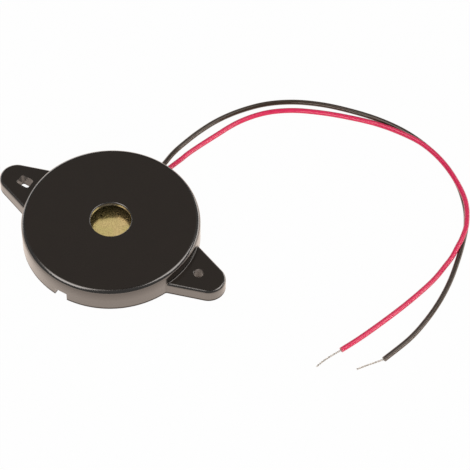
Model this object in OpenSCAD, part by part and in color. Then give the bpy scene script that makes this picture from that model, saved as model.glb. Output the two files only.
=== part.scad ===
// Flat round piezo buzzer with two mounting ears and two flying leads.
// Millimetres, +Z up. The origin is the centre of the base. +X runs along the ears
// towards the round mounting hole, and the leads leave the body along +Y.

/* [Body] */
// Diameter of the round body
body_d = 42.5; // [42:0.5:46]
// Height of the body from its base to its top face
body_h = 6.5; // [6.3:0.1:8]
// Radius of the rounding around the top rim
rim_r = 1.1; // [0.4:0.1:1.3]
// Thickness of the top plate
top_t = 1; // [0.8:0.1:1.6]
// Thickness of the outer wall
wall_t = 1.05; // [0.8:0.05:1.6]

/* [Sound hole] */
// Diameter of the sound hole in the top plate
port_d = 10.1; // [4:0.1:16]
// Radius of the rounding around the sound hole's upper edge
port_lip_r = 0.1; // [0.05:0.05:0.5]

/* [Mounting ears] */
// Distance from the middle of the body to the centre of the round mounting hole
hole_x = 24.75; // [24.5:0.05:26]
// Distance from the middle of the body to the centre of the mounting slot
slot_x = 25.05; // [24.5:0.05:26]
// Height of the ears
ear_h = 3.45; // [2.6:0.05:4.5]
// Radius of an ear's round tip
ear_tip_r = 4.1; // [3.6:0.1:4.8]
// Distance from the middle of the body to the centre of the tip's rounding
ear_tip_x = 27.5; // [26.5:0.1:29]
// Angle that each flank of an ear makes with the ear's centre line
ear_taper = 19.2; // [12:0.2:22]
// Radius of the rounding along an ear's upper edge
ear_edge_r = 0.9; // [0.2:0.1:1.2]
// Diameter of the round mounting hole
hole_d = 2.4; // [2:0.1:3.2]
// Width of the mounting slot
slot_w = 2.7; // [2:0.1:3.2]
// Length of the mounting slot, end to end, along the ear
slot_l = 3.4; // [2.8:0.1:3.8]
// Radius of the slot's corners
slot_corner_r = 0.6; // [0.3:0.1:0.9]
// Chamfer around the upper edge of the mounting hole and the slot
hole_chamfer = 0.15; // [0.05:0.05:0.3]

/* [Wire notches] */
// Width of each wire notch in the wall
notch_w = 3.3; // [2.8:0.1:5]
// Height of each wire notch above the base
notch_h = 2.3; // [2:0.1:2.6]
// Play above the leads in their notch
notch_play = 0.1; // [0:0.05:0.2]

/* [Sounder] */
// Diameter of the brass plate
plate_d = 35; // [34:0.1:35.2]
// Thickness of the brass plate
plate_t = 0.3; // [0.2:0.05:0.3]
// Diameter of the ceramic disc
ceramic_d = 25; // [23:0.5:26]
// Thickness of the ceramic disc
ceramic_t = 0.25; // [0.15:0.05:0.3]
// Height above the base of the seat that the rim of the brass plate lies against
seat_z = 3.35; // [3:0.05:3.8]
// Width of the seat
seat_w = 1.3; // [0.8:0.1:1.8]
// Thickness of the lip that locates the rim of the brass plate
lip_t = 0.75; // [0.5:0.05:0.8]
// Depth of the lip past the seat
lip_h = 1.9; // [1:0.1:2.4]
// Radial play between the brass plate and its lip
plate_play = 0.15; // [0.05:0.05:0.3]
// Width of the adhesive bead under the rim of the brass plate
bead_w = 0.9; // [0.6:0.1:1.2]
// Height of the adhesive bead
bead_h = 0.2; // [0.1:0.05:0.25]

/* [Leads] */
// Outside diameter of the insulation
lead_d = 1.2; // [1:0.05:1.2]
// Distance between the two leads, centre to centre, in their notch
lead_pitch = 1.4; // [1.2:0.1:1.6]
// Diameter of the stripped conductor
core_d = 0.38; // [0.3:0.02:0.5]

/* [Solder joints] */
// Diameter of a solder joint where it wets its pad
joint_d = 1.8; // [1.2:0.1:2]
// Height of a solder joint
joint_h = 0.55; // [0.45:0.05:0.6]
// Distance of the joint on the ceramic disc in from the disc's edge
joint_inset = 2.1; // [1.4:0.1:3]
// Length of bare conductor between a joint and the insulation of its lead
bare_l = 1.6; // [1.4:0.1:2]

/* [Hidden] */

// Facet counts: round forms are true curves, and cord tubes have flat sides
round_fn = 96;
edge_fn = 24;
ear_fn = 32;
cord_sides = 8;
cord_steps = 2;
// Overshoot of a cutting shape past the face that it cuts
cut = 1;

body_r = body_d / 2;
wall_r = body_r - wall_t;
pocket_r = plate_d / 2 + plate_play;
lip_r = pocket_r + lip_t;
chamber_r = plate_d / 2 - seat_w;
lip_z = seat_z - lip_h;
plate_z = seat_z - plate_t;
ceramic_z = plate_z - ceramic_t;
// The wide end of an ear is centred this far inside the body's outline, hidden in the wall
ear_root_in = 4.75;
ear_l = ear_tip_x - body_r + ear_root_in;

// The leads lie side by side under the ceiling of their notch
lead_z = notch_h - notch_play - lead_d / 2;
lead_x = lead_pitch / 2;
// Each solder joint is in line with its own lead, one of them in the middle of the
// brass plate's bare margin
brass_joint_at = [-lead_x, (ceramic_d + plate_d) / 4, plate_z];
ceramic_joint_at = [lead_x, ceramic_d / 2 - joint_inset, ceramic_z];

// Routes of the two leads outside the body, down to the surface and along it
black_route = [[-0.55, 24.4, 1.35], [-0.7, 27.9, 0.85], [-0.4, 31.4, 0.6], [0.9, 37.4, 0.6],
    [2.8, 43.1, 0.6], [5.9, 48.7, 0.6], [10, 53.9, 0.6], [15.4, 58.1, 0.6], [21.7, 61.3, 0.6],
    [28.5, 63.4, 0.6], [35.6, 64.7, 0.6], [42.8, 65, 0.6], [49.4, 64.1, 0.6],
    [55.8, 61.7, 0.6], [61.7, 58.1, 0.6], [66.7, 53.4, 0.6], [70, 48.4, 0.6], [72.2, 42.8, 0.6],
    [73.8, 37.2, 0.6], [75.1, 31.3, 0.6], [75.8, 25, 0.6], [75.8, 18.5, 0.6],
    [75.1, 12.3, 0.6], [73, 4.5, 0.6]];
red_route = [[1.25, 24.4, 1.3], [1.9, 27.7, 0.8], [2.6, 31.3, 0.6], [4.7, 38.1, 0.6],
    [7.3, 45.1, 0.6], [11.1, 51.1, 0.6], [16.3, 55.5, 0.6], [22.7, 58.8, 0.6],
    [29.3, 61.3, 0.6], [36, 63.2, 0.65], [42.8, 63.9, 1.2], [49.2, 63.4, 1.65],
    [55.5, 61.3, 1.8], [61.4, 57.9, 1.82], [66.6, 53.5, 1.82], [70.1, 48.1, 1.82],
    [71.4, 43.9, 1.75], [71.8, 41.1, 1.5], [71.9, 38.3, 0.9], [71.9, 35.4, 0.65],
    [71.4, 29.7, 0.6], [69.9, 21.9, 0.6], [67.8, 14.2, 0.6], [65.4, 6.6, 0.6],
    [63.3, 1.3, 0.6]];
// Stripped ends of the leads, drooping to the surface
black_tip_route = [[73, 4.5, 0.6], [71.6, 2.4, 0.5], [70.3, 0.6, 0.35], [69.1, -1.2, 0.22]];
red_tip_route = [[63.3, 1.3, 0.6], [62.4, -1, 0.5], [61.5, -3.4, 0.35], [60.9, -5.6, 0.22]];

// Where the insulation of the lead for the joint at p ends inside the body
function strip_point(p) = [p.x, p.y + bare_l, lead_z];

// The straight start of that lead, out to the body's outline
function lead_start(p) = let (y = strip_point(p).y)
    [strip_point(p), [p.x, (y + body_r) / 2, lead_z], [p.x, body_r, lead_z]];

// A point on a smooth curve through p[i] and p[i + 1], at the share t of the way
function curve_point(p, i, t) =
    let (a = p[max(i - 1, 0)], b = p[i], c = p[i + 1], d = p[min(i + 2, len(p) - 1)])
    (2 * b + (c - a) * t + (2 * a - 5 * b + 4 * c - d) * t * t
        + (3 * b - a - 3 * c + d) * t * t * t) / 2;

// The centres of a tube's rings along a route
function ring_centres(p, steps) = concat(
    [for (i = [0 : len(p) - 2], k = [0 : steps - 1]) curve_point(p, i, k / steps)],
    [p[len(p) - 1]]);

function unit(v) = v / norm(v);

// One ring of a tube, square to the direction of its route
function ring(c, along, r) =
    let (side = unit(cross([0, 0, 1], along)), up = cross(along, side))
    [for (k = [0 : cord_sides - 1]) let (a = 360 * (k + 0.5) / cord_sides)
        c + r * (cos(a) * side + sin(a) * up)];

// A round cord along a route, with flat ends
module cord(route, d, steps = cord_steps) {
    c = ring_centres(route, steps);
    n = len(c);
    points = [for (i = [0 : n - 1])
        each ring(c[i], unit(c[min(i + 1, n - 1)] - c[max(i - 1, 0)]), d / 2)];
    sides = [for (i = [0 : n - 2], k = [0 : cord_sides - 1])
        let (a = i * cord_sides + k, b = i * cord_sides + (k + 1) % cord_sides)
        each [[a, a + cord_sides, b], [b, a + cord_sides, b + cord_sides]]];
    ends = [[for (k = [0 : cord_sides - 1]) k],
        [for (k = [cord_sides - 1 : -1 : 0]) (n - 1) * cord_sides + k]];
    polyhedron(points, concat(sides, ends));
}

// A straight round conductor between two points
module core(from, to) {
    v = to - from;
    translate(from)
        rotate([0, acos(v.z / norm(v)), atan2(v.y, v.x)])
            cylinder(d = core_d, h = norm(v), $fn = round_fn);
}

// Half section of the body without its hollow: rounded outside at the top rim
module body_section() {
    square([body_r, body_h - rim_r]);
    square([body_r - rim_r, body_h]);
    translate([body_r - rim_r, body_h - rim_r]) circle(rim_r, $fn = edge_fn);
}

// Half section of all that is hollow inside the body
module hollow_section() {
    // Open back below the locating lip
    translate([0, -cut]) square([wall_r, cut + lip_z]);
    // Pocket that takes the brass plate
    square([pocket_r, seat_z]);
    // Sound chamber above the brass plate
    square([chamber_r, body_h - top_t]);
    // Gap between the locating lip and the wall
    translate([lip_r, 0]) square([wall_r - lip_r, body_h - top_t]);
}

// Half section of the sound hole, flared by its rounded upper edge
module port_section() {
    square([port_d / 2, body_h + cut]);
    difference() {
        translate([0, body_h - port_lip_r]) square([port_d / 2 + port_lip_r, port_lip_r + cut]);
        translate([port_d / 2 + port_lip_r, body_h - port_lip_r])
            circle(port_lip_r, $fn = edge_fn);
    }
}

// Half section of a round end of an ear with radius r, rounded along its upper edge
module ear_section(r) {
    square([r, ear_h - ear_edge_r]);
    square([r - ear_edge_r, ear_h]);
    translate([r - ear_edge_r, ear_h - ear_edge_r]) circle(ear_edge_r, $fn = edge_fn);
}

// One ear along +X: its round tip, widened in straight flanks to a root in the wall
module ear() {
    hull() {
        translate([ear_tip_x, 0, 0]) rotate_extrude($fn = ear_fn) ear_section(ear_tip_r);
        translate([ear_tip_x - ear_l, 0, 0])
            rotate_extrude($fn = ear_fn) ear_section(ear_tip_r + ear_l * sin(ear_taper));
    }
}

// A notch through the wall and the locating lip, open at the base
module wire_notch() {
    translate([-notch_w / 2, pocket_r - lip_t, -cut])
        cube([notch_w, body_r - pocket_r + lip_t + cut, notch_h + cut]);
}

// The plug that cuts a round hole of radius r through an ear, chamfered at the top
module hole_plug(r) {
    translate([0, 0, -cut]) cylinder(r = r, h = ear_h + 2 * cut, $fn = round_fn);
    chamfer_cone(r);
}

// The cone that chamfers the upper edge of a hole of radius r
module chamfer_cone(r) {
    translate([0, 0, ear_h - hole_chamfer])
        cylinder(r1 = r, r2 = r + hole_chamfer + cut, h = hole_chamfer + cut, $fn = round_fn);
}

// The plug that cuts the mounting slot: four round corners and what lies between them
module slot_plug() {
    corner = [slot_l / 2 - slot_corner_r, slot_w / 2 - slot_corner_r];
    for (x = [-1, 1], y = [-1, 1])
        translate([x * corner.x, y * corner.y, 0]) hole_plug(slot_corner_r);
    translate([0, 0, -cut]) linear_extrude(ear_h + 2 * cut) {
        square([slot_l, 2 * corner.y], center = true);
        square([2 * corner.x, slot_w], center = true);
    }
    hull()
        for (x = [-1, 1], y = [-1, 1])
            translate([x * corner.x, y * corner.y, 0]) chamfer_cone(slot_corner_r);
}

module housing() {
    color("#2e2a26")
    difference() {
        union() {
            rotate_extrude($fn = round_fn) body_section();
            ear();
            mirror([1, 0, 0]) ear();
        }
        rotate_extrude($fn = round_fn) hollow_section();
        rotate_extrude($fn = round_fn) port_section();
        wire_notch();
        mirror([0, 1, 0]) wire_notch();
        translate([hole_x, 0, 0]) hole_plug(hole_d / 2);
        translate([-slot_x, 0, 0]) slot_plug();
    }
}

module brass_plate() {
    color("#b9a05c")
    translate([0, 0, plate_z]) cylinder(d = plate_d, h = plate_t, $fn = round_fn);
}

module ceramic_disc() {
    color("#d9d6cc")
    translate([0, 0, ceramic_z]) cylinder(d = ceramic_d, h = ceramic_t, $fn = round_fn);
}

module adhesive_bead() {
    color("#f0efe8")
    translate([0, 0, plate_z - bead_h])
        difference() {
            cylinder(r = pocket_r, h = bead_h, $fn = round_fn);
            translate([0, 0, -cut])
                cylinder(r = pocket_r - bead_w, h = bead_h + 2 * cut, $fn = round_fn);
        }
}

// A domed solder joint that hangs from its pad at p, around its conductor
module solder_joint(p) {
    dome_r = (joint_d * joint_d / 4 + joint_h * joint_h) / (2 * joint_h);
    color("#c9c9c6")
    difference() {
        translate(p) intersection() {
            translate([0, 0, dome_r - joint_h]) sphere(dome_r, $fn = round_fn);
            translate([-joint_d, -joint_d, -2 * joint_h])
                cube([2 * joint_d, 2 * joint_d, 2 * joint_h]);
        }
        root_core(p);
    }
}

// The conductor from the end of the insulation into the middle of its joint at p
module root_core(p) {
    core(strip_point(p), p - [0, 0, joint_h / 2]);
}

module brass_joint() { solder_joint(brass_joint_at); }
module ceramic_joint() { solder_joint(ceramic_joint_at); }

module black_lead() { color("#3c3630") cord(concat(lead_start(brass_joint_at), black_route), lead_d); }
module red_lead() { color("#dc3c62") cord(concat(lead_start(ceramic_joint_at), red_route), lead_d); }

module black_lead_root() { color("#b8b4aa") root_core(brass_joint_at); }
module red_lead_root() { color("#b8b4aa") root_core(ceramic_joint_at); }

module black_lead_tip() { color("#b8b4aa") cord(black_tip_route, core_d); }
module red_lead_tip() { color("#b8b4aa") cord(red_tip_route, core_d); }

housing();
brass_plate();
ceramic_disc();
adhesive_bead();
brass_joint();
ceramic_joint();
black_lead();
black_lead_root();
black_lead_tip();
red_lead();
red_lead_root();
red_lead_tip();
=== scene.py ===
"""Flat piezo buzzer with mounting ears and two flying leads, dressed for a studio view.

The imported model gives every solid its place, in metres, with +Z up. The origin is the
centre of the base, +X runs along the ears towards the round hole, and the leads leave
the case along +Y.
"""

from __future__ import annotations

import logging
import math
from dataclasses import dataclass, field
from enum import Enum

import bmesh
import bpy
from mathutils import Matrix, Vector

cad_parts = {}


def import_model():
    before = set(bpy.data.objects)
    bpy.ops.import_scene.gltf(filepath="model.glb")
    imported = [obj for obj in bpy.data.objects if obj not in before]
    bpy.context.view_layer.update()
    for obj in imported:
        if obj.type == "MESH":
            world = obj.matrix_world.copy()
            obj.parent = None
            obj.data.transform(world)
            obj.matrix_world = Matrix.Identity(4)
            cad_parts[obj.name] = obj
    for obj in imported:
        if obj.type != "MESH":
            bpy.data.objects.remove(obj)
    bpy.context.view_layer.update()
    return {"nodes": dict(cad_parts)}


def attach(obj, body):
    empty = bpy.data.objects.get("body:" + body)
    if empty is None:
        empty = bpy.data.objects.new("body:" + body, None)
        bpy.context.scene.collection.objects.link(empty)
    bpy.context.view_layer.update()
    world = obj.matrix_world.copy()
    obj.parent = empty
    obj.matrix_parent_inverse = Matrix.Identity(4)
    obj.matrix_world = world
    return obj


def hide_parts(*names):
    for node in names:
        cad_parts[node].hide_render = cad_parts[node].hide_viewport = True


LOG = logging.getLogger("piezo_buzzer")

Point = tuple[float, float, float]
Colour = tuple[float, float, float]
Span = tuple[float, float]
Socket = bpy.types.NodeSocket
Source = Socket | float | tuple[float, ...]
Inputs = dict[str | int, Source]

# Distances in metres: corners this close become one, lie on the same circle, or are level.
MERGED = 1e-7
TOUCHING = 1e-6
SLACK = 1e-5


# --------------------------------------------------------------------------------------
# Routes in metres: the leads from inside the case, and their bare tips on from their ends
# --------------------------------------------------------------------------------------

LEAD_SKIN_DIAMETER = 0.00126
# Height of a lead's middle where it lies on the floor
LYING = LEAD_SKIN_DIAMETER / 2.0

BLACK_ROUTE: tuple[Point, ...] = (
    (-0.0007, 0.0166, 0.0016), (-0.0007, 0.018925, 0.0016), (-0.0007, 0.02125, 0.0016),
    (-0.0007, 0.0244, 0.0014), (-0.0009, 0.0279, 0.0009), (-0.0006, 0.0314, LYING),
    (0.0007, 0.0374, LYING), (0.0027, 0.0432, LYING), (0.0058, 0.0488, LYING),
    (0.01, 0.054, LYING), (0.0154, 0.0582, LYING), (0.0217, 0.0613, LYING),
    (0.0285, 0.0634, LYING), (0.0356, 0.0648, LYING), (0.0428, 0.0651, LYING),
    (0.0494, 0.0641, LYING), (0.0559, 0.0619, LYING), (0.0618, 0.0583, LYING),
    (0.0667, 0.0534, LYING), (0.0699, 0.0484, LYING), (0.072, 0.0428, LYING),
    (0.0736, 0.0372, LYING), (0.0749, 0.0313, LYING), (0.0756, 0.025, LYING),
    (0.0756, 0.0185, LYING), (0.0749, 0.0123, LYING), (0.07285, 0.0045, LYING),
)
RED_ROUTE: tuple[Point, ...] = (
    (0.0007, 0.012, 0.0016), (0.0007, 0.016625, 0.0016), (0.0007, 0.02125, 0.0016),
    (0.0012, 0.0244, 0.0013), (0.0017, 0.0277, 0.0008), (0.0024, 0.0313, LYING),
    (0.0046, 0.0382, LYING), (0.0072, 0.0453, LYING), (0.0111, 0.0512, LYING),
    (0.0163, 0.0556, LYING), (0.0227, 0.0589, LYING), (0.0293, 0.0614, LYING),
    (0.036, 0.0633, 0.00067), (0.0428, 0.0638, 0.0012), (0.0492, 0.0633, 0.00172),
    (0.0555, 0.0613, 0.00188), (0.0614, 0.058, 0.0019), (0.0667, 0.0536, 0.0019),
    (0.0701, 0.0481, 0.0019), (0.0713, 0.0439, 0.00182), (0.0716, 0.0411, 0.0015),
    (0.0718, 0.0383, 0.0009), (0.0717, 0.0354, 0.00067), (0.0713, 0.0297, LYING),
    (0.0697, 0.0219, LYING), (0.0676, 0.0142, LYING), (0.0652, 0.0066, LYING),
    (0.0632, 0.0013, LYING),
)
BLACK_TIP_ROUTE: tuple[Point, ...] = (
    (0.07285, 0.0045, 0.0006), (0.0714, 0.0024, 0.0006), (0.0701, 0.0006, 0.00055),
    (0.0689, -0.0012, 0.00045),
)
RED_TIP_ROUTE: tuple[Point, ...] = (
    (0.0632, 0.0013, 0.0006), (0.0622, -0.001, 0.0006), (0.0613, -0.0034, 0.00055),
    (0.0607, -0.0056, 0.00045),
)


# --------------------------------------------------------------------------------------
# Mesh and curve helpers
# --------------------------------------------------------------------------------------

def add_object(name: str, data: bpy.types.ID) -> bpy.types.Object:
    """Link a new object for some data to the scene.

    Args:
        name: The object's name.
        data: The mesh, curve, lamp or camera that it shows.

    Returns:
        The linked object.
    """
    obj = bpy.data.objects.new(name, data)
    bpy.context.scene.collection.objects.link(obj)
    return obj


def mesh_from(name: str, bm: bmesh.types.BMesh) -> bpy.types.Mesh:
    """Turn an edited mesh into mesh data with its faces outwards, and free it.

    Args:
        name: The mesh's name.
        bm: The edited mesh.

    Returns:
        The mesh data, smooth shaded.
    """
    bmesh.ops.recalc_face_normals(bm, faces=bm.faces)
    for face in bm.faces:
        face.smooth = True
    mesh = bpy.data.meshes.new(name)
    bm.to_mesh(mesh)
    bm.free()
    return mesh


def crease(mesh: bpy.types.Mesh, degrees: float = 30.0) -> None:
    """Mark the edges of a mesh that are sharper than an angle, in degrees, as sharp."""
    mesh.set_sharp_from_angle(angle=math.radians(degrees))


def revolve(profile: tuple[tuple[float, float], ...], steps: int) -> bmesh.types.BMesh:
    """Spin a half section about the Z axis.

    Args:
        profile: The section's corners as radius and height. It is closed, unless it starts
            and ends on the axis.
        steps: The number of facets round the axis.

    Returns:
        The edited mesh of the turned solid.
    """
    bm = bmesh.new()
    corners = [bm.verts.new((radius, 0.0, height)) for radius, height in profile]
    on_axis = profile[0][0] == profile[-1][0] == 0.0
    ends = corners[1:] if on_axis else corners[1:] + corners[:1]
    edges = [bm.edges.new((a, b)) for a, b in zip(corners, ends)]
    bmesh.ops.spin(
        bm, geom=corners + edges, cent=(0.0, 0.0, 0.0), axis=(0.0, 0.0, 1.0), dvec=(0.0, 0.0, 0.0),
        angle=math.tau, steps=steps, use_merge=True, use_normal_flip=False, use_duplicate=False,
    )
    bmesh.ops.remove_doubles(bm, verts=bm.verts, dist=MERGED)
    return bm


def ring_edges(bm: bmesh.types.BMesh, radius: float, height: float) -> list[bmesh.types.BMEdge]:
    """Find the edges of a circular corner.

    Args:
        bm: The edited mesh.
        radius: The circle's radius about the Z axis.
        height: The circle's height.

    Returns:
        The edges that lie on the circle.
    """
    def on_circle(vert: bmesh.types.BMVert) -> bool:
        """Say whether a corner lies on the circle."""
        return abs(vert.co.xy.length - radius) < TOUCHING and abs(vert.co.z - height) < TOUCHING

    return [edge for edge in bm.edges if all(on_circle(vert) for vert in edge.verts)]


def round_edges(bm: bmesh.types.BMesh, edges: list[bmesh.types.BMEdge], radius: float,
                segments: int, keep_clear: bool = True) -> None:
    """Round some edges off.

    Args:
        bm: The edited mesh.
        edges: The edges to round.
        radius: The rounding's radius.
        segments: The facets across the rounding.
        keep_clear: Whether the rounding shrinks where it would run into another corner.
    """
    bmesh.ops.bevel(
        bm, geom=edges, offset=radius, offset_type="OFFSET", affect="EDGES", segments=segments,
        profile=0.5, material=-1, clamp_overlap=keep_clear,
    )


class Cut(Enum):
    """How one solid changes another."""

    AWAY = "DIFFERENCE"
    JOIN = "UNION"


def combine(body: bpy.types.Mesh, tool: bpy.types.Mesh, cut: Cut) -> bpy.types.Mesh:
    """Cut one closed mesh away from another, or join it on.

    Args:
        body: The mesh that is changed.
        tool: The mesh that it is changed with.
        cut: Whether the tool is cut away or joined on.

    Returns:
        The new mesh. The two meshes that it was made from are removed.
    """
    body_object = add_object("combine_body", body)
    tool_object = add_object("combine_tool", tool)
    modifier = body_object.modifiers.new("combine", "BOOLEAN")
    modifier.operation = cut.value
    modifier.solver = "EXACT"
    modifier.object = tool_object
    depsgraph = bpy.context.evaluated_depsgraph_get()
    mesh = bpy.data.meshes.new_from_object(body_object.evaluated_get(depsgraph))
    mesh.name = body.name
    for obj in (body_object, tool_object):
        data = obj.data
        bpy.data.objects.remove(obj)
        bpy.data.meshes.remove(data)
    return mesh


def round_cord(name: str, radius: float, steps: int, roundness: int) -> bpy.types.Curve:
    """Start a curve with a round section and closed ends.

    Args:
        name: The curve's name.
        radius: The section's radius.
        steps: The steps from one point of its routes to the next.
        roundness: The extra corners in each quarter of its section.

    Returns:
        The curve, with no routes yet.
    """
    curve = bpy.data.curves.new(name, "CURVE")
    curve.dimensions = "3D"
    curve.resolution_u = curve.render_resolution_u = steps
    curve.bevel_depth = radius
    curve.bevel_resolution = roundness
    curve.use_fill_caps = True
    return curve


def add_route(curve: bpy.types.Curve, points: list[Vector]) -> None:
    """Lead a curve smoothly through the points of an open route.

    Args:
        curve: The curve.
        points: The points, in metres.
    """
    spline = curve.splines.new("BEZIER")
    spline.bezier_points.add(len(points) - 1)
    for index, (bezier, point) in enumerate(zip(spline.bezier_points, points)):
        before = points[max(index - 1, 0)]
        after = points[min(index + 1, len(points) - 1)]
        handle = (after - before) / 6.0
        bezier.co = point
        bezier.handle_left_type = bezier.handle_right_type = "FREE"
        bezier.handle_left = point - handle
        bezier.handle_right = point + handle


def wound(middle: list[Vector], radius: float, lay: float, start: float) -> list[Vector]:
    """Wind a line round another.

    Args:
        middle: The points that it is wound round.
        radius: Its distance from them.
        lay: The length that one turn takes.
        start: The angle at which it starts, in radians.

    Returns:
        The wound line's points, one for each point of the middle.
    """
    line: list[Vector] = []
    walked = 0.0
    for index, point in enumerate(middle):
        before, after = middle[max(index - 1, 0)], middle[min(index + 1, len(middle) - 1)]
        walked += (point - before).length
        along = (after - before).normalized()
        side = along.cross(Vector((0.0, 0.0, 1.0))).normalized()
        angle = start + math.tau * walked / lay
        line.append(point + radius * (side * math.cos(angle) + side.cross(along) * math.sin(angle)))
    return line


# --------------------------------------------------------------------------------------
# Finishes
# --------------------------------------------------------------------------------------

class Reach(Enum):
    """The axes that a distance on a piece is measured over."""

    FROM_AXIS = (1.0, 1.0, 0.0)
    FROM_BASE = (0.0, 0.0, 1.0)
    FROM_MIDDLE = (0.0, 1.0, 0.0)


@dataclass(frozen=True)
class Texture:
    """A noise pattern, and the relief that it can give.

    Attributes:
        scale: Lumps per metre.
        detail: Octaves of finer noise.
        roughness: Strength of the finer noise.
        bump: How strongly its relief shows.
        depth: Depth of its relief, in metres.
    """

    scale: float
    detail: float = 2.0
    roughness: float = 0.5
    bump: float = 0.0
    depth: float = 0.0


class Wiring:
    """Adds nodes to a node tree and joins them."""

    def __init__(self, tree: bpy.types.NodeTree) -> None:
        """Work on one node tree."""
        self.tree = tree

    def feed(self, socket: Socket, source: Source) -> None:
        """Join a node's output to an input, or set the input to a value.

        Args:
            socket: The input.
            source: The output, or the value.
        """
        if isinstance(source, Socket):
            self.tree.links.new(source, socket)
        else:
            socket.default_value = source

    def add(self, kind: str, output: str, inputs: Inputs | None = None,
            operation: str | None = None) -> Socket:
        """Add a node.

        Args:
            kind: The node's type.
            output: The name of the output that is wanted.
            inputs: What its inputs are fed with, by name or by number.
            operation: What it does, where its type leaves a choice.

        Returns:
            The wanted output.
        """
        node = self.tree.nodes.new(kind)
        if operation is not None:
            node.operation = operation
        for key, source in (inputs or {}).items():
            self.feed(node.inputs[key], source)
        return node.outputs[output]

    def ray(self, kind: str) -> Socket:
        """Give 1 on light rays of one kind, such as Is Camera Ray, and 0 on the others."""
        return self.add("ShaderNodeLightPath", kind)

    def blend(self, share: Socket, low: Source, high: Source) -> Socket:
        """Mix two colours, by the share of the second one."""
        return self.add("ShaderNodeMixRGB", "Color", {"Fac": share, "Color1": low, "Color2": high})

    def times(self, *factors: Socket) -> Socket:
        """Multiply some values.

        Args:
            factors: The values.

        Returns:
            Their product.
        """
        product = factors[0]
        for factor in factors[1:]:
            product = self.add("ShaderNodeMath", "Value", {0: product, 1: factor}, "MULTIPLY")
        return product

    def level(self, source: Socket, to: Span, over: Span = (0.0, 1.0)) -> Socket:
        """Map a value from one range to another.

        Args:
            source: The value.
            to: What the start and the end of its range become.
            over: The start and the end of its range.

        Returns:
            The mapped value, which stays within its new range.
        """
        return self.add("ShaderNodeMapRange", "Result", {
            "Value": source, "From Min": over[0], "From Max": over[1],
            "To Min": to[0], "To Max": to[1],
        })

    def rise(self, source: Socket, over: Span) -> Socket:
        """Go from 0 to 1 as a value crosses a range."""
        return self.level(source, (0.0, 1.0), over)

    def fall(self, source: Socket, over: Span) -> Socket:
        """Go from 1 to 0 as a value crosses a range."""
        return self.level(source, (1.0, 0.0), over)


class Painter(Wiring):
    """Builds one procedural material, with patterns that read Object coordinates."""

    def __init__(self, name: str) -> None:
        """Start the material with one shader.

        Args:
            name: The material's name.
        """
        self.material = bpy.data.materials.new(name)
        self.material.use_nodes = True
        super().__init__(self.material.node_tree)
        self.shader = self.tree.nodes["Principled BSDF"]
        self.place = self.add("ShaderNodeTexCoord", "Object")

    def dress(self, **sources: Source) -> None:
        """Feed the shader's inputs, named with underlines for their spaces."""
        for name, source in sources.items():
            self.feed(self.shader.inputs[name.replace("_", " ")], source)

    def upward(self) -> Socket:
        """Give how far the surface faces up, from -1 to 1."""
        normal = self.add("ShaderNodeNewGeometry", "Normal")
        return self.add("ShaderNodeSeparateXYZ", "Z", {"Vector": normal})

    def stretch(self, scale: Point) -> Socket:
        """Give Object coordinates scaled by a factor on each axis."""
        return self.add("ShaderNodeMapping", "Vector", {"Vector": self.place, "Scale": scale})

    def reach(self, axes: Reach) -> Socket:
        """Give the distance from the origin over some axes, in metres."""
        return self.add("ShaderNodeVectorMath", "Value", {0: self.stretch(axes.value)}, "LENGTH")

    def noise(self, texture: Texture, place: Socket | None = None) -> Socket:
        """Add a noise pattern.

        Args:
            texture: Its measures.
            place: The coordinates that it reads, or None for plain Object coordinates.

        Returns:
            The pattern, from 0 to 1.
        """
        return self.add("ShaderNodeTexNoise", "Fac", {
            "Vector": place or self.place, "Scale": texture.scale, "Detail": texture.detail,
            "Roughness": texture.roughness,
        })

    def ramp(self, source: Socket, low: Colour, high: Colour, over: Span = (0.3, 0.7)) -> Socket:
        """Turn a value into a colour.

        Args:
            source: The value.
            low: The colour at the start of its range.
            high: The colour at the end of its range.
            over: The start and the end of its range.

        Returns:
            The colour.
        """
        mixed = self.add("ShaderNodeValToRGB", "Color", {"Fac": source})
        for element, position, colour in zip(mixed.node.color_ramp.elements, over, (low, high)):
            element.position = position
            element.color = (*colour, 1.0)
        return mixed

    def relief(self, pattern: Socket, texture: Texture, under: Socket | None = None) -> Socket:
        """Bend the surface's normal by a pattern.

        Args:
            pattern: The pattern, from 0 to 1.
            texture: The pattern's measures.
            under: A normal that is bent already, or None.

        Returns:
            The bent normal.
        """
        inputs: Inputs = {"Height": pattern, "Strength": texture.bump, "Distance": texture.depth}
        if under is not None:
            inputs["Normal"] = under
        return self.add("ShaderNodeBump", "Normal", inputs)


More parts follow.
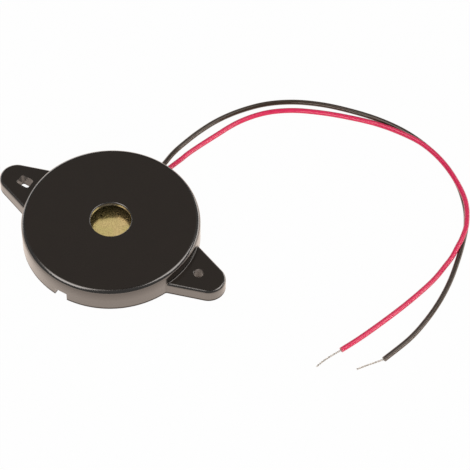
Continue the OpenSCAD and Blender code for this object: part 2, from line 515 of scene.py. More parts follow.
@dataclass(frozen=True)
class MouldedPlastic:
    """Black moulded plastic: fine satin faces on top, and walls polished by the mould.

    One look passes into the next over a span of heights, radii or sides, in metres, or over
    a span of facing, from -1 where the surface faces down to 1 where it faces up.
    """

    name: str = "case_plastic"
    colour: Colour = (0.0045, 0.0032, 0.0024)
    colour_worn: Colour = (0.0065, 0.0048, 0.0036)
    # Painted reflection: a light grey painted on the walls of the mounting hole, slot and sound
    # port, in place of the bright floor that they mirror.
    colour_painted_reflection: Colour = (0.20, 0.175, 0.16)
    gloss_tint: Colour = (1.0, 0.84, 0.73)
    index: float = 1.45
    roughness: Span = (0.21, 0.27)
    polish_index: float = 2.4
    polish_roughness: float = 0.18
    patches: Texture = Texture(220.0, 3.0)
    # Noise that breaks up the painted reflection, and the span it is spread over.
    reflection_breakup: Texture = Texture(1400.0)
    reflection_breakup_over: Span = (0.3, 0.6)
    grain: Texture = Texture(9000.0, 2.0, 0.6, bump=0.04, depth=0.00002)
    # How much painted reflection the sound port's wall and lip get.
    port_painted_reflection: float = 0.6
    port_radii: Span = (0.0053, 0.0056)
    port_facing: Span = (0.1, 0.5)
    foot_heights: Span = (0.0003, 0.0006)
    top_facing: Span = (0.92, 0.998)
    rubbing: float = 0.4
    rubbed_heights: Span = (0.0030, 0.0056)
    rubbed_radii: Span = (0.0150, 0.0190)
    rubbed_facing: Span = (0.05, 0.45)
    root_polish: float = 0.5
    root_low_heights: Span = (0.0033, 0.0035)
    root_high_heights: Span = (0.0038, 0.0040)
    root_radii: Span = (0.0216, 0.0218)
    root_facing: Span = (0.15, 0.35)
    bore_polish: float = 0.25
    bore_near_radii: Span = (0.0222, 0.0226)
    bore_far_radii: Span = (0.0275, 0.0285)
    bore_sides: Span = (0.0018, 0.0025)
    bore_facing: Span = (0.1, 0.3)

    def make(self) -> bpy.types.Material:
        """Build the material.

        Returns:
            The material.
        """
        paint = Painter(self.name)
        patches = paint.noise(self.patches)
        skin = paint.ramp(patches, self.colour, self.colour_worn)
        # Painted reflection for the bore and port walls: light grey broken up by noise.
        reflection_breakup = paint.noise(self.reflection_breakup)
        painted_reflection = paint.ramp(reflection_breakup, self.colour, self.colour_painted_reflection, self.reflection_breakup_over)
        bores = self.bores(paint)
        polish = paint.times(self.turned_over(paint), self.below_rubbed(paint),
                             self.off_roots(paint), paint.level(bores, (1.0, self.bore_polish)))
        # The base colour carries the painted reflection in the bores and the sound port.
        paint.dress(
            IOR=self.index, Specular_Tint=(*self.gloss_tint, 1.0),
            Coat_IOR=self.polish_index, Coat_Roughness=self.polish_roughness, Coat_Weight=polish,
            Base_Color=paint.blend(self.port(paint), paint.blend(bores, skin, painted_reflection), painted_reflection),
            Roughness=paint.level(patches, self.roughness),
            Normal=paint.relief(paint.noise(self.grain), self.grain),
        )
        return paint.material

    def turned_over(self, paint: Painter) -> Socket:
        """Give 1 on walls and rounded edges, and 0 on flat tops and at the dull foot."""
        lifted = paint.rise(paint.reach(Reach.FROM_BASE), self.foot_heights)
        return paint.times(paint.fall(paint.upward(), self.top_facing), lifted)

    def below_rubbed(self, paint: Painter) -> Socket:
        """Give less than 1 high up on the outer wall, which handling has rubbed dull.

        Args:
            paint: The material's painter.

        Returns:
            The share of the polish that is left.
        """
        high = paint.level(paint.reach(Reach.FROM_BASE), (0.0, self.rubbing), self.rubbed_heights)
        upright = paint.fall(paint.upward(), self.rubbed_facing)
        outer = paint.rise(paint.reach(Reach.FROM_AXIS), self.rubbed_radii)
        return paint.fall(paint.times(high, upright, outer), (0.0, 1.0))

    def off_roots(self, paint: Painter) -> Socket:
        """Give less than 1 in the inner corners between the wall and the ears.

        Args:
            paint: The material's painter.

        Returns:
            The share of the polish that is left.
        """
        height = paint.reach(Reach.FROM_BASE)
        corner = paint.times(
            paint.rise(height, self.root_low_heights), paint.fall(height, self.root_high_heights),
            paint.fall(paint.reach(Reach.FROM_AXIS), self.root_radii),
            paint.rise(paint.upward(), self.root_facing),
        )
        return paint.level(corner, (1.0, self.root_polish))

    def port(self, paint: Painter) -> Socket:
        """Give how much painted reflection the sound port's inside and lip get, and 0 elsewhere."""
        near = paint.level(paint.reach(Reach.FROM_AXIS), (self.port_painted_reflection, 0.0), self.port_radii)
        return paint.times(near, paint.fall(paint.upward(), self.port_facing))

    def bores(self, paint: Painter) -> Socket:
        """Give 1 inside the mounting hole and slot, and 0 elsewhere.

        Args:
            paint: The material's painter.

        Returns:
            The mask.
        """
        out, facing = paint.reach(Reach.FROM_AXIS), paint.upward()
        low, high = self.bore_facing
        return paint.times(
            paint.rise(out, self.bore_near_radii), paint.fall(out, self.bore_far_radii),
            paint.fall(paint.reach(Reach.FROM_MIDDLE), self.bore_sides),
            paint.fall(facing, (low, high)), paint.rise(facing, (-high, -low)),
        )


@dataclass(frozen=True)
class RolledBrass:
    """Bright rolled brass sheet with faint roll marks, specks and fingered dull spots."""

    name: str = "rolled_brass"
    colour: Colour = (0.90, 0.67, 0.31)
    colour_dull: Colour = (0.70, 0.53, 0.23)
    colour_aged: Colour = (0.74, 0.61, 0.24)
    metal: Span = (0.84, 1.0)
    metal_over: Span = (0.35, 0.65)
    roughness: Span = (0.14, 0.55)
    specks: Texture = Texture(1500.0, 4.0, 0.7, bump=0.15, depth=0.00001)
    specks_over: Span = (0.35, 0.6)
    ageing: Texture = Texture(190.0, 1.0)
    ageing_over: Span = (0.42, 0.58)
    spots: Texture = Texture(3600.0, 2.0, 0.6)
    spots_over: Span = (0.5, 0.68)
    roll_marks: Texture = Texture(400.0, 3.0, 0.6, bump=0.12, depth=0.00001)
    roll_stretch: Point = (0.4, 14.0, 1.0)

    def make(self) -> bpy.types.Material:
        """Build the material.

        Returns:
            The material.
        """
        paint = Painter(self.name)
        specks = paint.noise(self.specks)
        bright, aged = (paint.ramp(specks, self.colour_dull, colour, self.specks_over)
                        for colour in (self.colour, self.colour_aged))
        rolled = paint.noise(self.roll_marks, paint.stretch(self.roll_stretch))
        paint.dress(
            Base_Color=paint.blend(paint.rise(paint.noise(self.ageing), self.ageing_over),
                                   aged, bright),
            Metallic=paint.level(specks, self.metal, self.metal_over),
            Roughness=paint.level(paint.noise(self.spots), self.roughness, self.spots_over),
            Normal=paint.relief(specks, self.specks, paint.relief(rolled, self.roll_marks)),
        )
        return paint.material


@dataclass(frozen=True)
class SilveredCeramic:
    """Fired silver on a piezo ceramic, with a bare cream margin at its rim."""

    name: str = "silvered_ceramic"
    silver: Colour = (0.66, 0.65, 0.62)
    silver_dull: Colour = (0.54, 0.53, 0.50)
    ceramic: Colour = (0.46, 0.40, 0.29)
    ceramic_dark: Colour = (0.38, 0.32, 0.22)
    silver_rim: Span = (0.0119, 0.0120)
    metal: Span = (0.0, 0.8)
    roughness: Span = (0.38, 0.55)
    cloud: Texture = Texture(600.0, 4.0, 0.6)
    pits: Texture = Texture(6000.0, bump=0.25, depth=0.00001)

    def make(self) -> bpy.types.Material:
        """Build the material.

        Returns:
            The material.
        """
        paint = Painter(self.name)
        cloud = paint.noise(self.cloud)
        fired = paint.fall(paint.reach(Reach.FROM_AXIS), self.silver_rim)
        paint.dress(
            Base_Color=paint.blend(fired, paint.ramp(cloud, self.ceramic_dark, self.ceramic),
                                   paint.ramp(cloud, self.silver_dull, self.silver)),
            Metallic=paint.level(fired, self.metal),
            Roughness=paint.level(cloud, self.roughness),
            Normal=paint.relief(paint.noise(self.pits), self.pits),
        )
        return paint.material


@dataclass(frozen=True)
class CuredSilicone:
    """Milky silicone adhesive with a soft, uneven skin."""

    name: str = "cured_silicone"
    colour: Colour = (0.72, 0.71, 0.66)
    colour_thin: Colour = (0.60, 0.58, 0.52)
    index: float = 1.41
    roughness: float = 0.35
    lumps: Texture = Texture(350.0, 3.0, bump=0.5, depth=0.0001)

    def make(self) -> bpy.types.Material:
        """Build the material.

        Returns:
            The material.
        """
        paint = Painter(self.name)
        lumps = paint.noise(self.lumps)
        paint.dress(
            IOR=self.index, Roughness=self.roughness,
            Base_Color=paint.ramp(lumps, self.colour_thin, self.colour),
            Normal=paint.relief(lumps, self.lumps),
        )
        return paint.material


@dataclass(frozen=True)
class BareMetal:
    """Bare metal, clouded with a duller shade and a faint grain."""

    name: str
    colour: Colour
    colour_dull: Colour
    dull_over: Span
    roughness: Span
    grain: Texture

    def make(self) -> bpy.types.Material:
        """Build the material.

        Returns:
            The material.
        """
        paint = Painter(self.name)
        grain = paint.noise(self.grain)
        paint.dress(
            Metallic=1.0,
            Base_Color=paint.ramp(grain, self.colour_dull, self.colour, self.dull_over),
            Roughness=paint.level(grain, self.roughness),
            Normal=paint.relief(grain, self.grain),
        )
        return paint.material


@dataclass(frozen=True)
class BrightSolder(BareMetal):
    """Solder that has cooled bright, with a faint grain."""

    name: str = "bright_solder"
    colour: Colour = (0.66, 0.66, 0.64)
    colour_dull: Colour = (0.48, 0.48, 0.46)
    dull_over: Span = (0.3, 0.7)
    roughness: Span = (0.2, 0.4)
    grain: Texture = Texture(2500.0, 3.0, 0.6, bump=0.25, depth=0.00003)


@dataclass(frozen=True)
class TinnedCopper(BareMetal):
    """Fine tinned copper strands, dulled by handling."""

    name: str = "tinned_copper"
    colour: Colour = (0.92, 0.90, 0.86)
    colour_dull: Colour = (0.78, 0.75, 0.70)
    dull_over: Span = (0.3, 0.65)
    roughness: Span = (0.12, 0.25)
    grain: Texture = Texture(1800.0, 3.0, 0.6, bump=0.2, depth=0.00001)


@dataclass(frozen=True)
class WireInsulation:
    """Soft extruded vinyl with a faint draw along its skin and a glossy surface."""

    name: str
    colour: Colour
    colour_deep: Colour
    roughness: Span = (0.35, 0.45)
    gloss: float = 1.0
    gloss_index: float = 1.5
    gloss_roughness: float = 0.16
    skin_index: float = 1.5
    skin_tint: Colour = (1.0, 1.0, 1.0)
    cloud: Texture = Texture(700.0, 3.0, 0.6)
    draw: Texture = Texture(5000.0, bump=0.04, depth=0.00002)

    def make(self) -> bpy.types.Material:
        """Build the material.

        Returns:
            The material.
        """
        paint = Painter(self.name)
        cloud = paint.noise(self.cloud)
        paint.dress(
            IOR=self.skin_index, Specular_Tint=(*self.skin_tint, 1.0), Coat_Weight=self.gloss,
            Coat_IOR=self.gloss_index, Coat_Roughness=self.gloss_roughness,
            Base_Color=paint.ramp(cloud, self.colour_deep, self.colour),
            Roughness=paint.level(cloud, self.roughness),
            Normal=paint.relief(paint.noise(self.draw), self.draw),
        )
        return paint.material


# --------------------------------------------------------------------------------------
# Studio
# --------------------------------------------------------------------------------------

WHITE: Colour = (1.0, 1.0, 1.0)
PALE_LIGHT: Colour = (1.0, 0.96, 0.91)
WARM_LIGHT: Colour = (1.0, 0.95, 0.91)
AMBER_LIGHT: Colour = (1.0, 0.93, 0.88)


@dataclass
class StudioCamera:
    """Long lens that looks down on the buzzer from in front and to the right.

    Angles are in degrees, the lens and its sensor in millimetres, and the rest in metres.
    """

    target: Point = (0.02471, 0.01612, 0.0)
    distance: float = 0.59847
    turn: float = 31.4116
    height: float = 53.9448
    roll: float = 1.1933
    lens: float = 191.64
    sensor: float = 36.0
    near: float = 0.05
    far: float = 20.0

    def build(self) -> None:
        """Make the camera and look through it."""
        data = bpy.data.cameras.new("studio_camera")
        data.lens = self.lens
        data.sensor_width = self.sensor
        data.clip_start = self.near
        data.clip_end = self.far
        camera = add_object("studio_camera", data)
        camera.matrix_world = (
            Matrix.Translation(self.target)
            @ Matrix.Rotation(math.radians(self.turn), 4, "Z")
            @ Matrix.Rotation(math.radians(90.0 - self.height), 4, "X")
            @ Matrix.Rotation(math.radians(self.roll), 4, "Z")
            @ Matrix.Translation((0.0, 0.0, self.distance))
        )
        bpy.context.scene.camera = camera
        place = camera.matrix_world.translation
        LOG.info("camera at %s", tuple(round(value, 4) for value in place))


@dataclass(frozen=True)
class Softbox:
    """A rectangular lamp that faces the buzzer.

    Attributes:
        name: The lamp's name.
        bearing: Its direction from the buzzer, in degrees from +X towards +Y.
        elevation: Its height above the floor, in degrees.
        distance: Its distance, in metres.
        width: Its width, in metres.
        length: Its length, in metres.
        radiance: Its brightness in a mirror, where 1 is plain white.
        turn: Its turn about the line to the buzzer, in degrees.
        colour: Its colour.
        mirrored: Whether reflections show it.
        lit: Whether it lights dull surfaces.
        leads_only: Whether it reaches nothing but the skins of the leads.
        target: The place that it faces.
    """

    name: str
    bearing: float
    elevation: float
    distance: float
    width: float
    length: float
    radiance: float
    turn: float = 0.0
    colour: Colour = WHITE
    mirrored: bool = True
    lit: bool = True
    leads_only: bool = False
    target: Point = (0.01, 0.01, 0.0)

    def build(self, leads: list[bpy.types.Object]) -> None:
        """Make the lamp and point it at the buzzer.

        Args:
            leads: The skins of the leads.
        """
        data = bpy.data.lights.new(self.name, "AREA")
        data.shape = "RECTANGLE"
        data.size = self.width
        data.size_y = self.length
        data.color = self.colour
        data.energy = self.radiance * math.pi * self.width * self.length
        lamp = add_object(self.name, data)
        bearing, elevation = math.radians(self.bearing), math.radians(self.elevation)
        outward = Vector((math.cos(bearing) * math.cos(elevation),
                          math.sin(bearing) * math.cos(elevation), math.sin(elevation)))
        lamp.matrix_world = (Matrix.Translation(Vector(self.target) + self.distance * outward)
                             @ (-outward).to_track_quat("-Z", "Y").to_matrix().to_4x4()
                             @ Matrix.Rotation(math.radians(self.turn), 4, "Z"))
        lamp.visible_glossy = self.mirrored
        lamp.visible_diffuse = self.lit
        if self.leads_only:
            pieces = bpy.data.collections.new(f"{self.name}_pieces")
            for lead in leads:
                pieces.objects.link(lead)
            lamp.light_linking.receiver_collection = pieces


@dataclass
class Studio:
    """White floor, dim surroundings and soft lamps.

    Attributes:
        floor_size: Side of the floor, in metres.
        floor_colour: The floor's colour under the lamps.
        floor_roughness: How dull the floor is.
        seen_glow: Share of its own white glow in what the camera sees of the floor.
        mirrored_colour: The floor's colour in reflections.
        sky: Brightness of the surroundings, as light and in reflections.
        lamps: The lamps.
    """

    floor_size: float = 4.0
    floor_colour: Colour = (0.7, 0.7, 0.7)
    floor_roughness: float = 0.9
    seen_glow: float = 0.98
    mirrored_colour: Colour = (1.0, 0.86, 0.76)
    sky: float = 0.15
    lamps: tuple[Softbox, ...] = (
        Softbox("key_softbox", bearing=-132.7, elevation=64.2, distance=1.1, width=0.54,
                length=0.96, radiance=2.3, turn=42.7, colour=WARM_LIGHT),
        Softbox("side_softbox", bearing=36.6, elevation=56.4, distance=1.1, width=0.66,
                length=0.66, radiance=2.0, colour=WARM_LIGHT),
        Softbox("back_panel", bearing=121.4, elevation=55.0, distance=1.2, width=0.9,
                length=0.5, radiance=0.55, lit=False),
        Softbox("left_panel", bearing=158.0, elevation=4.0, distance=1.3, width=1.4,
                length=0.5, radiance=1.3, lit=False),
        Softbox("right_panel", bearing=62.0, elevation=4.0, distance=1.3, width=1.2,
                length=0.6, radiance=2.0, colour=PALE_LIGHT, lit=False),
        Softbox("front_fill", bearing=-40.0, elevation=28.0, distance=1.3, width=1.6,
                length=0.8, radiance=2.6, mirrored=False),
        Softbox("front_accent", bearing=-74.0, elevation=29.0, distance=1.3, width=0.7,
                length=0.35, radiance=6.0, colour=AMBER_LIGHT, lit=False, leads_only=True),
        Softbox("right_accent", bearing=14.0, elevation=13.0, distance=1.3, width=0.6,
                length=0.3, radiance=8.0, colour=AMBER_LIGHT, lit=False, leads_only=True),
    )

    def build(self, leads: list[bpy.types.Object]) -> None:
        """Make the floor, the surroundings and the lamps.

        Args:
            leads: The skins of the leads, which some lamps are for.
        """
        self.build_floor()
        self.build_sky()
        for lamp in self.lamps:
            lamp.build(leads)
        bpy.context.scene.view_settings.view_transform = "Standard"
        LOG.info("studio with %d lamps", len(self.lamps))

    def build_floor(self) -> None:
        """Make the floor."""
        bm = bmesh.new()
        bmesh.ops.create_grid(bm, x_segments=1, y_segments=1, size=self.floor_size / 2.0)
        floor = add_object("studio_floor", mesh_from("studio_floor", bm))
        floor.data.materials.append(self.floor_material())

    def floor_material(self) -> bpy.types.Material:
        """Build a floor that glows to the camera and in reflections, and takes soft shadows.

        Returns:
            The material.
        """
        paint = Painter("studio_floor")
        paint.dress(Base_Color=(*self.floor_colour, 1.0), Roughness=self.floor_roughness,
                    Specular_IOR_Level=0.0)
        mirrored = paint.ray("Is Glossy Ray")
        tint = paint.blend(mirrored, (*WHITE, 1.0), (*self.mirrored_colour, 1.0))
        light = paint.add("ShaderNodeEmission", "Emission", {"Color": tint, "Strength": 1.0})
        share = paint.add("ShaderNodeMath", "Value", {
            0: paint.ray("Is Camera Ray"), 1: self.seen_glow, 2: mirrored,
        }, "MULTIPLY_ADD")
        surface = paint.add("ShaderNodeMixShader", "Shader", {
            "Fac": share, 1: paint.shader.outputs["BSDF"], 2: light,
        })
        paint.feed(paint.tree.nodes["Material Output"].inputs["Surface"], surface)
        return paint.material

    def build_sky(self) -> None:
        """Make the surroundings: a dim grey room that looks white to the camera."""
        world = bpy.data.worlds.new("studio_sky")
        world.use_nodes = True
        bpy.context.scene.world = world
        wiring = Wiring(world.node_tree)
        background = wiring.tree.nodes["Background"]
        wiring.feed(background.inputs["Color"], (*WHITE, 1.0))
        strength = wiring.level(wiring.ray("Is Camera Ray"), (self.sky, 1.0))
        wiring.feed(background.inputs["Strength"], strength)


# --------------------------------------------------------------------------------------
# Leads
# --------------------------------------------------------------------------------------

@dataclass
class Lead:
    """One flying lead: its insulation and the twisted strands that stick out of it."""

    name: str
    route: tuple[Point, ...]
    tip_route: tuple[Point, ...]
    finish: WireInsulation
    exit_place: Point
    length: float
    diameter: float = 0.0012
    skin_diameter: float = LEAD_SKIN_DIAMETER
    skin_steps: int = 8
    skin_roundness: int = 6
    bunches: int = 2
    bunch_lay: float = 0.00136
    bunch_radius: float = 0.00012
    strands: int = 3
    strand_lay: float = 0.0009
    strand_radius: float = 0.000052
    strand_roundness: int = 2
    tip_points: int = 160

    def build(self, copper: bpy.types.Material) -> bpy.types.Object:
        """Args:
            copper: The material of its strands.

        Returns:
            Its skin.
        """
        insulation = self.build_insulation()
        strands = self.build_strands(copper)
        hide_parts(self.name)
        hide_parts(f"{self.name}_tip")
        for piece in (insulation, strands):
            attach(piece, "root")
        LOG.info("%s: %d points, %.0f mm", self.name, len(self.route), self.length * 1000.0)
        return insulation

    def build_insulation(self) -> bpy.types.Object:
        """Make the round skin of the lead along its route.

        Returns:
            The piece.
        """
        curve = round_cord(f"{self.name}_skin", self.skin_diameter / 2.0, self.skin_steps,
                           self.skin_roundness)
        add_route(curve, [Vector(point) for point in self.route])
        curve.materials.append(self.finish.make())
        return add_object(f"{self.name}_skin", curve)

    def build_strands(self, copper: bpy.types.Material) -> bpy.types.Object:
        """Make the strands: bunches of a few strands, and the bunches wound round each other.

        Args:
            copper: The strands' material.

        Returns:
            The piece.
        """
        curve = round_cord(f"{self.name}_strands", self.strand_radius, 1, self.strand_roundness)
        middle = self.tip_line()
        touching = self.strand_radius / math.sin(math.pi / self.strands)
        for bunch in range(self.bunches):
            core = wound(middle, self.bunch_radius, self.bunch_lay, math.tau * bunch / self.bunches)
            for strand in range(self.strands):
                start = math.tau * strand / self.strands
                add_route(curve, wound(core, touching, self.strand_lay, start))
        curve.materials.append(copper)
        return add_object(f"{self.name}_strands", curve)

    def tip_line(self) -> list[Vector]:
        """Walk smoothly through the points of the tip's route.

        Returns:
            The points of the walk, shared out evenly over the parts of the route.
        """
        route = [Vector(point) for point in self.tip_route]
        spans = len(route) - 1
        line: list[Vector] = []
        for step in range(self.tip_points):
            position = step / (self.tip_points - 1) * spans
            index = min(int(position), spans - 1)
            share = position - index
            a, b = route[max(index - 1, 0)], route[index]
            c, d = route[index + 1], route[min(index + 2, spans)]
            line.append((2 * b + (c - a) * share + (2 * a - 5 * b + 4 * c - d) * share ** 2
                         + (3 * b - a - 3 * c + d) * share ** 3) / 2)
        return line


# --------------------------------------------------------------------------------------
# Case
# --------------------------------------------------------------------------------------

@dataclass
class Ear:
    """One mounting ear: a round tip, two straight flanks and a rounded upper edge.

    Its taper is the angle of each flank to the X axis, in degrees.
    """

    tip_x: float = 0.0275
    tip_radius: float = 0.0041
    taper: float = 19.2
    height: float = 0.00345
    edge_radius: float = 0.0009
    root_radius: float = 0.0207
    tip_steps: int = 48
    root_steps: int = 16
    edge_segments: int = 8

    def build(self) -> bpy.types.Mesh:
        """Make the ear that points along +X, with its root inside the wall of the case.

        Returns:
            The closed mesh.
        """
        bm = bmesh.new()
        tip = self.arc(bm, (self.tip_x, 0.0, 0.0), self.tip_end(), self.tip_steps)
        root = self.arc(bm, (0.0, 0.0, 0.0), self.root_end(), self.root_steps)
        base = bm.faces.new(tip + root[::-1])
        raised = bmesh.ops.extrude_face_region(bm, geom=[base], use_keep_orig=True)["geom"]
        bmesh.ops.translate(
            bm, vec=(0.0, 0.0, self.height),
            verts=[item for item in raised if isinstance(item, bmesh.types.BMVert)],
        )
        bmesh.ops.recalc_face_normals(bm, faces=bm.faces)
        rim = [edge for edge in bm.edges
               if all(vert.co.z > self.height / 2.0 for vert in edge.verts)
               and any(vert.co.xy.length > self.root_radius + SLACK for vert in edge.verts)]
        round_edges(bm, rim, self.edge_radius, self.edge_segments)
        return mesh_from("ear", bm)

    def tip_end(self) -> Vector:
        """Find the end of the round tip on the +Y side, where its flank starts.

        Returns:
            The place.
        """
        open_angle = math.radians(90.0 - self.taper)
        return Vector((self.tip_x + self.tip_radius * math.cos(open_angle),
                       self.tip_radius * math.sin(open_angle), 0.0))

    def root_end(self) -> Vector:
        """Find the end of the flank on the +Y side, inside the wall of the case.

        Returns:
            The place.
        """
        taper = math.radians(self.taper)
        end = self.tip_end()
        back = Vector((-math.cos(taper), math.sin(taper), 0.0))
        along = end.dot(back)
        walk = -along - math.sqrt(along ** 2 - end.length_squared + self.root_radius ** 2)
        return end + walk * back

    @staticmethod
    def arc(bm: bmesh.types.BMesh, centre: Point, end: Vector,
            steps: int) -> list[bmesh.types.BMVert]:
        """Add the corners of an arc that is even about the X axis.

        Args:
            bm: The edited mesh.
            centre: The arc's centre, on the X axis.
            end: The arc's end on the +Y side.
            steps: The number of chords.

        Returns:
            The corners, from the -Y side to the +Y side.
        """
        out = end - Vector(centre)
        start = bm.verts.new((end.x, -end.y, 0.0))
        older = set(bm.verts) - {start}
        bmesh.ops.spin(
            bm, geom=[start], cent=centre, axis=(0.0, 0.0, 1.0), dvec=(0.0, 0.0, 0.0),
            angle=2.0 * math.atan2(out.y, out.x), steps=steps, use_merge=False,
            use_normal_flip=False, use_duplicate=False,
        )
        return sorted(set(bm.verts) - older, key=lambda vert: vert.co.y)


@dataclass
class Case:
    """The moulded case: top plate, wall, ears, seat ring and wire notches in one piece."""

    radius: float = 0.02125
    height: float = 0.0065
    rim_radius: float = 0.0011
    rim_segments: int = 12
    top: float = 0.001
    wall: float = 0.00105
    port_radius: float = 0.00487
    port_lip: float = 0.0003
    port_lip_segments: int = 6
    seat_height: float = 0.00335
    chamber_radius: float = 0.0162
    pocket_radius: float = 0.01765
    lip_radius: float = 0.0184
    lip_height: float = 0.00145
    notch_width: float = 0.0033
    notch_height: float = 0.0023
    hole_x: float = 0.02475
    hole_radius: float = 0.0012
    hole_facets: int = 64
    slot_x: float = 0.02505
    slot_length: float = 0.0034
    slot_width: float = 0.0027
    slot_corner: float = 0.0006
    slot_corner_facets: int = 32
    chamfer: float = 0.00005
    root_fillet: float = 0.0003
    root_segments: int = 5
    root_degrees: float = 20.0
    facets: int = 192
    overshoot: float = 0.001
    flat_radians: float = 1e-4
    finish: MouldedPlastic = field(default_factory=MouldedPlastic)
    ear: Ear = field(default_factory=Ear)

    def build(self) -> None:
        """Make the case in place of its plain solid."""
        mesh = self.shell()
        for turn in (0.0, math.pi):
            ear = self.ear.build()
            ear.transform(Matrix.Rotation(turn, 4, "Z"))
            mesh = combine(mesh, ear, Cut.JOIN)
        self.fill_roots(mesh)
        for cutter in (self.notch_cutter(1.0), self.notch_cutter(-1.0), self.hole_cutter(),
                       self.slot_cutter(), self.slot_flare()):
            mesh = combine(mesh, cutter, Cut.AWAY)
        for polygon in mesh.polygons:
            polygon.use_smooth = True
        crease(mesh)
        mesh.materials.clear()
        mesh.materials.append(self.finish.make())
        piece = add_object("case", mesh)
        weighted = piece.modifiers.new("even_shading", "WEIGHTED_NORMAL")
        weighted.keep_sharp = True
        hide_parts("housing")
        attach(piece, "root")
        LOG.info("case: %d faces", len(mesh.polygons))

    def shell(self) -> bpy.types.Mesh:
        """Make the round body with its stepped inside and its rounded rims.

        Returns:
            The closed mesh.
        """
        ceiling = self.height - self.top
        inner = self.radius - self.wall
        bm = revolve((
            (self.radius, 0.0), (self.radius, self.height), (self.port_radius, self.height),
            (self.port_radius, ceiling), (self.chamber_radius, ceiling),
            (self.chamber_radius, self.seat_height), (self.pocket_radius, self.seat_height),
            (self.pocket_radius, self.lip_height), (self.lip_radius, self.lip_height),
            (self.lip_radius, ceiling), (inner, ceiling), (inner, 0.0),
        ), self.facets)
        rim = ring_edges(bm, self.radius, self.height)
        round_edges(bm, rim, self.rim_radius, self.rim_segments)
        lip = ring_edges(bm, self.port_radius, self.height)
        round_edges(bm, lip, self.port_lip, self.port_lip_segments)
        return mesh_from("case", bm)

    def fill_roots(self, mesh: bpy.types.Mesh) -> None:
        """Round the inner corners where the ears meet the wall.

        Args:
            mesh: The body joined to its ears.
        """
        bm = bmesh.new()
        bm.from_mesh(mesh)
        on_wall = {vert for edge in self.root_edges(bm) for vert in edge.verts}
        bmesh.ops.remove_doubles(bm, verts=list(on_wall), dist=self.root_fillet / 2.0)
        bmesh.ops.dissolve_degenerate(bm, edges=bm.edges, dist=TOUCHING)
        corners = self.root_edges(bm)
        round_edges(bm, corners, self.root_fillet, self.root_segments, keep_clear=False)
        LOG.info("roots of the ears: %d edges rounded", len(corners))
        bm.to_mesh(mesh)
        bm.free()

    def root_edges(self, bm: bmesh.types.BMesh) -> list[bmesh.types.BMEdge]:
        """Find the edges of the inner corners between the wall and the ears.

        Args:
            bm: The edited mesh.

        Returns:
            The edges.
        """
        return [
            edge for edge in bm.edges
            if edge.is_manifold and not edge.is_convex
            and math.degrees(edge.calc_face_angle()) > self.root_degrees
            and all(abs(vert.co.xy.length - self.radius) < 2.0 * SLACK for vert in edge.verts)
            and all(vert.co.z < self.ear.height + SLACK for vert in edge.verts)
        ]

    def notch_cutter(self, side: float) -> bpy.types.Mesh:
        """Make the block that cuts a wire notch.

        Args:
            side: The notch's side of the case, 1 at +Y or -1 at -Y.

        Returns:
            The closed mesh.
        """
        inside = 2.0 * self.pocket_radius - self.lip_radius
        outside = self.radius + self.overshoot
        bm = bmesh.new()
        bmesh.ops.create_cube(bm, size=1.0)
        bmesh.ops.scale(bm, vec=(self.notch_width, outside - inside,
                                 self.notch_height + self.overshoot), verts=bm.verts)
        bmesh.ops.translate(bm, vec=(0.0, side * (inside + outside) / 2.0,
                                     (self.notch_height - self.overshoot) / 2.0), verts=bm.verts)
        return mesh_from("notch_cutter", bm)

    def hole_cutter(self) -> bpy.types.Mesh:
        """Make the plug that cuts the round mounting hole, flared at its upper end.

        Returns:
            The closed mesh.
        """
        top = self.ear.height
        flared = self.hole_radius + self.chamfer
        bm = revolve((
            (0.0, -self.overshoot), (self.hole_radius, -self.overshoot),
            (self.hole_radius, top - self.chamfer), (flared, top), (flared, top + self.overshoot),
            (0.0, top + self.overshoot),
        ), self.hole_facets)
        bmesh.ops.translate(bm, vec=(self.hole_x, 0.0, 0.0), verts=bm.verts)
        return mesh_from("hole_cutter", bm)

    def slot_cutter(self) -> bpy.types.Mesh:
        """Make the plug that cuts the mounting slot."""
        return self.slot_plug(-self.overshoot, self.ear.height + self.overshoot)

    def slot_flare(self) -> bpy.types.Mesh:
        """Make the plug that chamfers the slot's upper edge."""
        top = self.ear.height
        return self.slot_plug(top - self.chamfer, top + self.chamfer, 2.0 * self.chamfer)

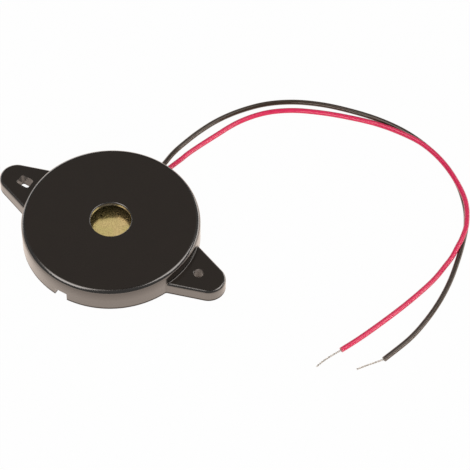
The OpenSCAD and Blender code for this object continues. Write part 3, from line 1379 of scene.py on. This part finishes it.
    def slot_plug(self, low: float, high: float, flare: float = 0.0) -> bpy.types.Mesh:
        """Stretch a skin round two outlines of the slot.

        Args:
            low: Height of the lower outline.
            high: Height of the upper outline.
            flare: How far the upper outline stands outside the slot.

        Returns:
            The closed mesh.
        """
        bm = bmesh.new()
        along = self.slot_length / 2.0 - self.slot_corner
        across = self.slot_width / 2.0 - self.slot_corner
        for height, radius in ((low, self.slot_corner), (high, self.slot_corner + flare)):
            for x in (-along, along):
                for y in (-across, across):
                    place = Matrix.Translation((x - self.slot_x, y, height))
                    bmesh.ops.create_circle(bm, segments=self.slot_corner_facets, radius=radius,
                                            matrix=place)
        skin = bmesh.ops.convex_hull(bm, input=bm.verts, use_existing_faces=False)
        spare = [item for item in skin["geom_interior"] + skin["geom_unused"]
                 if isinstance(item, bmesh.types.BMVert)]
        bmesh.ops.delete(bm, geom=spare, context="VERTS")
        bmesh.ops.delete(bm, geom=[edge for edge in bm.edges if not edge.link_faces],
                         context="EDGES")
        bmesh.ops.dissolve_limit(bm, angle_limit=self.flat_radians, use_dissolve_boundaries=False,
                                 verts=bm.verts, edges=bm.edges, delimit=set())
        return mesh_from("slot_plug", bm)


# --------------------------------------------------------------------------------------
# Sounder
# --------------------------------------------------------------------------------------

@dataclass
class Sounder:
    """The brass plate with its ceramic disc, adhesive bead, joints and inner conductors."""

    brass: RolledBrass = field(default_factory=RolledBrass)
    ceramic: SilveredCeramic = field(default_factory=SilveredCeramic)
    silicone: CuredSilicone = field(default_factory=CuredSilicone)
    solder: BrightSolder = field(default_factory=BrightSolder)

    def dress(self, nodes: dict[str, bpy.types.Object], copper: bpy.types.Material) -> None:
        """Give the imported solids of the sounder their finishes.

        Args:
            nodes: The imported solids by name.
            copper: The material of the bare conductors.
        """
        solder = self.solder.make()
        finishes = {
            "brass_plate": self.brass.make(), "ceramic_disc": self.ceramic.make(),
            "adhesive_bead": self.silicone.make(), "brass_joint": solder, "ceramic_joint": solder,
            "black_lead_root": copper, "red_lead_root": copper,
        }
        for name, material in finishes.items():
            nodes[name].data.materials.clear()
            nodes[name].data.materials.append(material)
            LOG.info("%s: %s", name, material.name)


def main() -> None:
    """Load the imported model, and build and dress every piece."""
    logging.basicConfig(level=logging.INFO, format="%(name)s: %(message)s")
    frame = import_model()
    StudioCamera().build()
    copper = TinnedCopper().make()
    black_lead = Lead(
        name="black_lead", route=BLACK_ROUTE, tip_route=BLACK_TIP_ROUTE,
        finish=WireInsulation("black_insulation", colour=(0.020, 0.013, 0.009),
                              colour_deep=(0.015, 0.010, 0.006), skin_tint=(1.0, 0.7, 0.5)),
        exit_place=(-0.0007, 0.02125, 0.0016), length=0.154,
    )
    red_lead = Lead(
        name="red_lead", route=RED_ROUTE, tip_route=RED_TIP_ROUTE,
        finish=WireInsulation("red_insulation", colour=(0.83, 0.015, 0.110),
                              colour_deep=(0.76, 0.012, 0.094), skin_index=1.3),
        exit_place=(0.0007, 0.02125, 0.0016), length=0.158,
    )
    leads = [lead.build(copper) for lead in (black_lead, red_lead)]
    Case().build()
    Sounder().dress(frame["nodes"], copper)
    Studio().build(leads)


if __name__ == "__main__":
    main()
